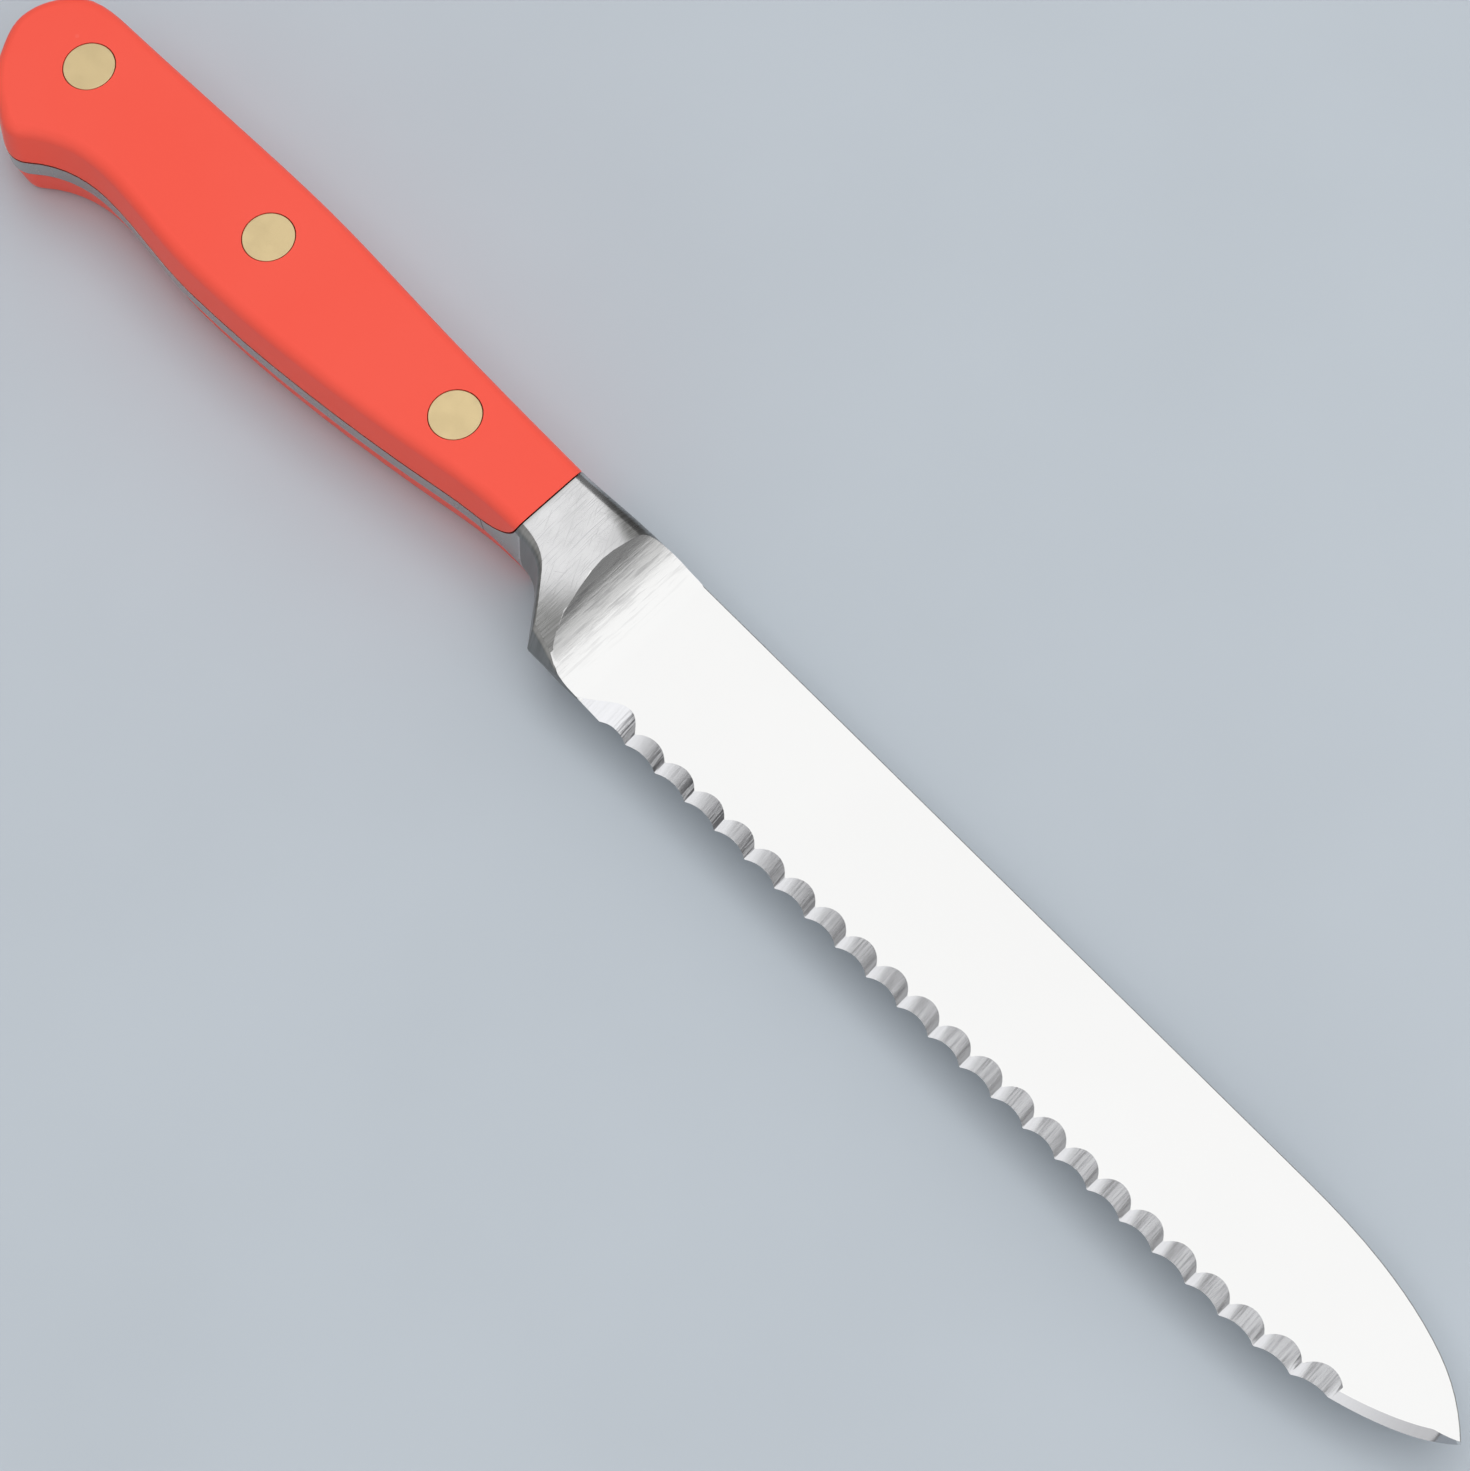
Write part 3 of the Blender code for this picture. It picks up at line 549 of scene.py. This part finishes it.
def bolster_material(settings, shoulder):
    """Tang steel, darker as painted shade, then the brushed, scratched bolster, with painted shade
    towards its front and spine side.
    """
    made, tree, shader, place = new_material("brushed_steel", 1.0, settings.bolster_roughness)
    parts = axis_parts(tree, place)
    on_bolster = range_node(tree, parts["X"], shoulder - JOIN_BLEND, shoulder + JOIN_BLEND)
    brush = use_group(tree, streak_group(), place, Width=0.00013, Length=0.009,
                      Turn=math.radians(4), Detail=1.5)
    scratches = [use_group(tree, scratch_group(), place, Width=width, Length=length,
                           Turn=math.radians(turn), Rarity=rarity)
                 for width, length, turn, rarity in ((0.00011, 0.0060, -3, 0.58),
                                                     (0.00011, 0.0045, -26, 0.62),
                                                     (0.00010, 0.0035, 52, 0.66))]
    both = math_node(tree, "MAXIMUM", scratches[0], scratches[1])
    marks = product(tree, math_node(tree, "MAXIMUM", both, scratches[2]), on_bolster)
    brushed = product(tree, brush, on_bolster)
    scratch_depth = 0.5
    height = math_node(tree, "SUBTRACT", brushed, product(tree, marks, scratch_depth))
    brush_depth = settings.grain_depth * 0.09
    bump(tree, shader, height, brush_depth)
    smudges = use_group(tree, cloud_group(), place, Size=0.0035)
    # Painted shade: masks that darken the bolster towards its front and along its spine side.
    aslant = math_node(tree, "SUBTRACT", parts["X"], parts["Y"])
    front = range_node(tree, aslant, low=shoulder + 0.0085, high=shoulder + 0.0160)
    slope = 0.25
    rolled = math_node(tree, "ADD", parts["Y"], product(tree, parts["X"], slope))
    spine_level = AXIS_LEVEL + slope * shoulder
    spine_shade = range_node(tree, rolled, low=spine_level + 0.0052, high=spine_level + 0.0070)
    shade = product(tree, math_node(tree, "MAXIMUM", front, spine_shade), on_bolster)
    # The tang's darker colour is painted shade.
    plain = mix_colours(tree, on_bolster, settings.tang, settings.bolster)
    scratch_stain, smudge_stain = 0.16, 0.06
    scratched = product(tree, marks, scratch_stain)
    smudged = product(tree, product(tree, smudges, on_bolster), smudge_stain)
    worn = math_node(tree, "ADD", scratched, smudged)
    worn_steel = mix_colours(tree, worn, plain, settings.stain_and_shade)
    # The painted shade is a little weaker on the brush lines.
    shade = product(tree, shade, range_node(tree, brush, low=0.3, high=0.7, start=1.0, end=0.75))
    tree.links.new(mix_colours(tree, shade, worn_steel, settings.shade_colour),
                   shader.inputs["Base Color"])
    rough = range_node(tree, smudges, low=0, high=1, start=settings.bolster_roughness - 0.03,
                       end=settings.bolster_roughness + 0.04)
    scratch_roughness = 0.08
    tree.links.new(math_node(tree, "ADD", rough, product(tree, marks, scratch_roughness)),
                   shader.inputs["Roughness"])
    return made


def flank_material(settings):
    """Forged flank of the heel and bolster, its dark colour painted shade, with faint upright lines.
    """
    roughness = 0.34
    made, tree, shader, place = new_material("flank_shade_steel", 1.0, roughness)
    grain = use_group(tree, streak_group(), place, Width=settings.grain_width,
                      Length=settings.grain_length)
    line_depth = settings.grain_depth * 0.3
    bump(tree, shader, grain, line_depth)
    # Painted shade: the flank takes the dark shade colour, a little lighter along its lines.
    lighter = times(settings.shade_colour, 1.3)
    streaks = range_node(tree, grain, low=0.35, high=0.65)
    tree.links.new(mix_colours(tree, streaks, settings.shade_colour, lighter), shader.inputs["Base Color"])
    rough = range_node(tree, grain, low=0.3, high=0.7, start=roughness - 0.04, end=roughness + 0.06)
    tree.links.new(rough, shader.inputs["Roughness"])
    return made


def gullet_material(settings, shoulder):
    """Serrations from the wheel: grinding lines with painted shade on their far sides by the heel,
    and painted shade at the tip.
    """
    made, tree, shader, place = new_material("wheel_ground_steel", 1.0, settings.gullet_roughness)
    run = axis_parts(tree, place)["X"]
    coarse = use_group(tree, streak_group(), place, Width=settings.grain_width * 0.6,
                       Length=settings.grain_length)
    fine = use_group(tree, streak_group(), place, Width=settings.grain_width / 4,
                     Length=settings.grain_length)
    toward_heel = range_node(tree, run, low=shoulder + 0.080, high=shoulder + 0.028, start=0.02)
    normal = tree.nodes.new("ShaderNodeTexCoord").outputs["Normal"]
    far_side = range_node(tree, axis_parts(tree, normal)["X"], low=0.08, high=-0.20)
    fine_share = 0.35
    lines = math_node(tree, "ADD", coarse, product(tree, fine, fine_share))
    rough_side = range_node(tree, far_side, low=0, high=1, start=0.08, end=1.8)
    height = product(tree, product(tree, lines, toward_heel), rough_side)
    bump(tree, shader, height, settings.grain_depth)
    # Painted shade: the grinding lines darken only on faces that point back towards the butt, more
    # so towards the heel.
    darkened = product(tree, range_node(tree, lines, low=0.64, high=0.70), far_side)
    # Painted shade: the serrations darken towards the tip.
    tip = range_node(tree, run, low=shoulder + 0.132, high=shoulder + 0.1475, end=0.45)
    dark = math_node(tree, "MAXIMUM", product(tree, darkened, toward_heel), tip)
    tree.links.new(mix_colours(tree, dark, settings.gullet, settings.stain_and_shade),
                   shader.inputs["Base Color"])
    rough = range_node(tree, coarse, low=0.3, high=0.7, start=settings.gullet_roughness - 0.04,
                       end=settings.gullet_roughness + 0.06)
    tree.links.new(rough, shader.inputs["Roughness"])
    return made


def coral_material(settings):
    """Moulded coral plastic, polished to a satin sheen."""
    made, tree, shader, place = new_material("coral_plastic_finish", 0.0, settings.roughness)
    shader.inputs["Specular IOR Level"].default_value = settings.gloss
    patches = use_group(tree, cloud_group(), place, Size=0.02)
    speckle = tree.nodes.new("ShaderNodeTexVoronoi")
    speckle.inputs["Scale"].default_value = 110
    tree.links.new(place, speckle.inputs["Vector"])
    specks = range_node(tree, speckle.outputs["Distance"], low=0.045, high=0.02)
    mottle_strength, speck_strength = 0.22, 0.9
    mottled = product(tree, patches, mottle_strength)
    paler = math_node(tree, "MAXIMUM", mottled, product(tree, specks, speck_strength))
    tree.links.new(mix_colours(tree, paler, settings.colour, settings.pale),
                   shader.inputs["Base Color"])
    scratches = use_group(tree, scratch_group(), place, Width=0.0001, Length=0.005,
                          Turn=math.radians(75), Rarity=0.67)
    ripple = use_group(tree, cloud_group(), place, Size=settings.peel_size)
    scratch_depth = 0.5
    height = math_node(tree, "SUBTRACT", ripple, product(tree, scratches, scratch_depth))
    bump(tree, shader, height, settings.peel_depth)
    rough = range_node(tree, patches, low=0, high=1, start=settings.roughness - 0.03,
                       end=settings.roughness + 0.03)
    tree.links.new(rough, shader.inputs["Roughness"])
    return made


def brass_material(settings):
    """Brass ground flush with the handle, with marks in several directions."""
    made, tree, shader, place = new_material("ground_brass", 1.0, settings.roughness)
    grain = use_group(tree, streak_group(), place, Width=0.00007, Length=0.002,
                      Turn=math.radians(35))
    marks = [use_group(tree, scratch_group(), place, Width=0.00012, Length=0.0022,
                       Turn=math.radians(turn), Rarity=0.63) for turn in (-12, 68)]
    both = math_node(tree, "MAXIMUM", marks[0], marks[1])
    grain_share, mark_share = 0.5, 0.6
    height = math_node(tree, "SUBTRACT", product(tree, grain, grain_share),
                       product(tree, both, mark_share))
    grinding_depth = 0.000005
    bump(tree, shader, height, grinding_depth)
    patches = use_group(tree, cloud_group(), place, Size=0.003)
    duller = times(settings.colour, 0.88)
    patch_strength = 0.25
    tree.links.new(mix_colours(tree, product(tree, patches, patch_strength),
                               settings.colour, duller), shader.inputs["Base Color"])
    rough = range_node(tree, patches, low=0, high=1, start=settings.roughness - 0.015,
                       end=settings.roughness + 0.015)
    tree.links.new(rough, shader.inputs["Roughness"])
    return made


def floor_material(settings):
    """Pale matt floor with hardly any mottling."""
    made, tree, shader, place = new_material("pale_floor", 0.0, 0.85)
    patches = use_group(tree, cloud_group(), place, Size=0.05)
    darker = times(settings.floor_colour, 0.97)
    tree.links.new(mix_colours(tree, patches, settings.floor_colour, darker),
                   shader.inputs["Base Color"])
    return made


class KNIFE_OT_make_steel(bpy.types.Operator):
    """Blade, bolster and tang with smooth curves, crisp edges and ground faces"""

    bl_idname = "tomato_knife.make_steel"
    bl_label = "Make Blade and Tang"

    def execute(self, context):
        settings = context.scene.knife_steel
        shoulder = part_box("blade_and_tang")[1].x - settings.blade_reach
        piece = refined_copy("blade_and_tang", "forged_blade")
        for finish in (blade_material(settings, shoulder), gullet_material(settings, shoulder),
                       bolster_material(settings, shoulder), flank_material(settings)):
            piece.data.materials.append(finish)
        bpy.ops.object.shade_smooth_by_angle(angle=settings.soft_angle)
        self.assign_finishes(piece, settings, shoulder)
        blade_start = shoulder + settings.hollow_end - FLAT_MARGIN
        heel_start = shoulder + 0.004
        mark_sharp(piece, lambda edge, sides: edge_start(piece, edge) > blade_start
                   and turn_between(sides) > settings.crisp_angle)
        mark_sharp(piece, lambda edge, sides: edge_start(piece, edge) > heel_start
                   and len({face.material_index for face in sides}) > 1)
        self.round_spine(piece, settings, blade_start)
        weigh_normals(piece)
        finish_piece(piece, "steel", "blade_and_tang")
        return {"FINISHED"}

    @staticmethod
    def assign_finishes(piece, settings, shoulder):
        """Give the serrations, the bolster with the tang, and the lower flank their own steel."""
        end = shoulder + settings.hollow_end
        points = piece.data.vertices
        low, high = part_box("blade_and_tang")
        middle = (low.z + high.z) / 2
        radius = settings.hollow_radius

        def is_ground(face):
            slants = 0.1 < face.normal.z < 0.985
            off_spine = face.normal.y < 0.3
            return face.center.x > end and slants and off_spine

        # Faces that point towards the edge side get the flank's painted shade steel.
        def is_flank(face):
            faces_edge = face.normal.y < -0.35
            return shoulder - JOIN_BLEND < face.center.x < end and faces_edge

        def is_forged(face):
            """Whether a corner stands out of the hollow or lies under the blade's face."""
            if face.center.x > end - CREST_REACH:
                return False
            for corner in face.vertices:
                place = points[corner].co
                level = place.y - AXIS_LEVEL
                away = max(end - place.x - math.tan(HOLLOW_SKEW) * level, 0)
                rise = radius - math.sqrt(max(radius ** 2 - away ** 2, 0))
                out = abs(place.z - middle) - rise
                least = EDGE_HALF + BLADE_TAPER * (level + HEEL_DROP)
                if out > BLADE_HALF + ABOVE_HOLLOW or out < least - BELOW_BLADE:
                    return True
            return face.center.x < shoulder + BOLSTER_BODY

        make_active(piece)
        for index, test in ((1, is_ground), (2, is_forged), (3, is_flank)):
            select_faces(piece, test)
            piece.active_material_index = index
            bpy.ops.object.material_slot_assign()
            bpy.ops.object.mode_set(mode="OBJECT")

    @staticmethod
    def round_spine(piece, settings, start):
        """Round the long edges between the blade's faces and its spine."""
        def is_spine(edge, sides):
            side, top = sorted(sides, key=lambda face: face.normal.y)
            is_side = abs(side.normal.z) > 0.95
            is_top = top.normal.y > 0.7
            return edge_start(piece, edge) > start and is_side and is_top

        select_edges(piece, is_spine)
        bpy.ops.mesh.bevel(offset=settings.spine_bevel, segments=3, affect="EDGES")
        bpy.ops.mesh.select_mode(type="FACE")
        bpy.ops.object.mode_set(mode="OBJECT")


class KNIFE_OT_make_scales(bpy.types.Operator):
    """The two coral scales with rounded rims and counterbores for the rivets"""

    bl_idname = "tomato_knife.make_scales"
    bl_label = "Make Handle Scales"

    def execute(self, context):
        settings = context.scene.knife_handle
        finish = coral_material(settings)
        for node, name in SCALES.items():
            piece = refined_copy(node, name)
            piece.data.materials.append(finish)
            bpy.ops.object.shade_smooth_by_angle(angle=settings.soft_angle)
            weigh_normals(piece)
            finish_piece(piece, "coral_plastic", node)
        return {"FINISHED"}


class KNIFE_OT_make_rivets(bpy.types.Operator):
    """Three cutlery rivets, each a headed post in a headed sleeve"""

    bl_idname = "tomato_knife.make_rivets"
    bl_label = "Make Rivets"

    def execute(self, context):
        settings = context.scene.knife_rivets
        finish = brass_material(settings)
        for where in RIVETS:
            post = self.make_post(settings, where)
            sleeve = self.make_sleeve(settings, where)
            for piece in (post, sleeve):
                piece.data.materials.append(finish)
                make_active(piece)
                bpy.ops.object.shade_smooth_by_angle(angle=settings.soft_angle)
                weigh_normals(piece)
            finish_piece(post, "brass", "rivet_post_" + where)
            finish_piece(sleeve, "brass", "rivet_sleeve_" + where)
        return {"FINISHED"}

    @staticmethod
    def start_head(name, low, high, face_up, settings):
        """Round head at the top or the foot of a rivet's box, with its outer rim rounded."""
        deselect_all()
        radius = (high.x - low.x) / 2
        centre = (low + high) / 2
        top = high.z if face_up else low.z + settings.head_height
        foot = top - settings.head_height
        bpy.ops.mesh.primitive_cylinder_add(
            vertices=settings.sides, radius=radius, depth=settings.head_height,
            location=(centre.x, centre.y, (top + foot) / 2))
        piece = bpy.context.active_object
        piece.name = name
        piece.data.name = name
        bpy.ops.object.transform_apply(location=True, rotation=False, scale=False)
        outer = top if face_up else foot
        select_faces(piece, lambda face: abs(face.center.z - outer) < SAME_PLACE)
        bpy.ops.mesh.bevel(offset=settings.rim, segments=4, affect="EDGES")
        return piece

    @staticmethod
    def pull_face(piece, height, up, inset, reach):
        """Inset the flat face at a height and pull it out, or push it in, by a reach."""
        side = 1 if up else -1

        def is_chosen(face):
            return abs(face.center.z - height) < SAME_PLACE and side * face.normal.z > 0.9

        select_faces(piece, is_chosen)
        bpy.ops.mesh.inset(thickness=inset)
        bpy.ops.mesh.extrude_region_move(TRANSFORM_OT_translate={"value": (0, 0, reach)})

    def make_post(self, settings, where):
        low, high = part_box("rivet_post_" + where)
        piece = self.start_head("brass_post_" + where, low, high, True, settings)
        radius = (high.x - low.x) / 2
        foot = high.z - settings.head_height
        self.pull_face(piece, foot, False, radius - settings.shank / 2, low.z - foot)
        bpy.ops.object.mode_set(mode="OBJECT")
        return piece

    def make_sleeve(self, settings, where):
        low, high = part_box("rivet_sleeve_" + where)
        piece = self.start_head("brass_sleeve_" + where, low, high, False, settings)
        radius = (high.x - low.x) / 2
        seat = low.z + settings.head_height
        self.pull_face(piece, seat, True, radius - settings.sleeve / 2, high.z - seat)
        wall = (settings.sleeve - settings.shank) / 2 - POST_CLEARANCE
        self.pull_face(piece, high.z, True, wall, seat - high.z)
        bpy.ops.object.mode_set(mode="OBJECT")
        return piece


class KNIFE_OT_make_stage(bpy.types.Operator):
    """Pale floor, soft lamps and the camera"""

    bl_idname = "tomato_knife.make_stage"
    bl_label = "Make Stage"

    def execute(self, context):
        settings = context.scene.knife_stage
        self.make_floor(settings)
        world = bpy.data.worlds.new("room")
        world.use_nodes = True
        level = settings.room_level
        world.node_tree.nodes["Background"].inputs["Color"].default_value = (level, level, level, 1)
        context.scene.world = world
        for name, place, target, size, brightness, gives in LAMPS:
            lamp = self.make_softbox(name, place, target, size, brightness)
            lamp.visible_diffuse = gives != "glossy"
            lamp.visible_glossy = gives != "matt"
        self.make_camera(context.scene, settings)
        context.scene.view_settings.view_transform = "Standard"
        return {"FINISHED"}

    @staticmethod
    def make_floor(settings):
        deselect_all()
        bpy.ops.mesh.primitive_plane_add(size=settings.floor_size, location=(0, 0, CAD_BOX[0][2]))
        floor = bpy.context.active_object
        floor.name = "floor"
        floor.data.materials.append(floor_material(settings))

    @staticmethod
    def make_softbox(name, place, target, size, brightness):
        """Area lamp whose face has the given brightness when the knife mirrors it."""
        lamp = bpy.data.lights.new(name, "AREA")
        lamp.shape = "RECTANGLE"
        lamp.size, lamp.size_y = size
        lamp.energy = brightness * math.pi * size[0] * size[1]
        softbox = bpy.data.objects.new(name, lamp)
        softbox.location = place
        softbox.rotation_euler = (Vector(target) - Vector(place)).to_track_quat("-Z", "Y").to_euler()
        bpy.context.scene.collection.objects.link(softbox)
        return softbox

    @staticmethod
    def make_camera(scene, settings):
        data = bpy.data.cameras.new("camera")
        data.sensor_fit = "HORIZONTAL"
        data.sensor_width = 36
        data.lens = settings.camera_lens
        data.clip_start = 0.01
        camera = bpy.data.objects.new("camera", data)
        camera.location = settings.camera_place
        camera.rotation_euler = settings.camera_turn
        scene.collection.objects.link(camera)
        scene.camera = camera


class KNIFE_PT_sidebar(bpy.types.Panel):
    """Sizes, colours and the steps that finish the knife"""

    bl_label = "Tomato Knife"
    bl_idname = "KNIFE_PT_sidebar"
    bl_space_type = "VIEW_3D"
    bl_region_type = "UI"
    bl_category = "Tomato Knife"

    def draw(self, context):
        for step in STEPS:
            self.layout.operator(step.bl_idname)
        for group in SETTINGS:
            box = self.layout.box()
            for label in SETTINGS[group].__annotations__:
                box.prop(getattr(context.scene, group), label)


STEPS = (KNIFE_OT_make_steel, KNIFE_OT_make_scales, KNIFE_OT_make_rivets, KNIFE_OT_make_stage)
SETTINGS = {
    "knife_steel": SteelSettings,
    "knife_handle": HandleSettings,
    "knife_rivets": RivetSettings,
    "knife_stage": StageSettings,
}


def register():
    for group, kind in SETTINGS.items():
        bpy.utils.register_class(kind)
        setattr(bpy.types.Scene, group, PointerProperty(type=kind))
    for kind in (*STEPS, KNIFE_PT_sidebar):
        bpy.utils.register_class(kind)


def unregister():
    for kind in (KNIFE_PT_sidebar, *reversed(STEPS)):
        bpy.utils.unregister_class(kind)
    for group, kind in reversed(SETTINGS.items()):
        delattr(bpy.types.Scene, group)
        bpy.utils.unregister_class(kind)


def main():
    register()
    bpy.ops.tomato_knife.make_steel()
    bpy.ops.tomato_knife.make_scales()
    bpy.ops.tomato_knife.make_rivets()
    bpy.ops.tomato_knife.make_stage()


if __name__ == "__main__":
    main()
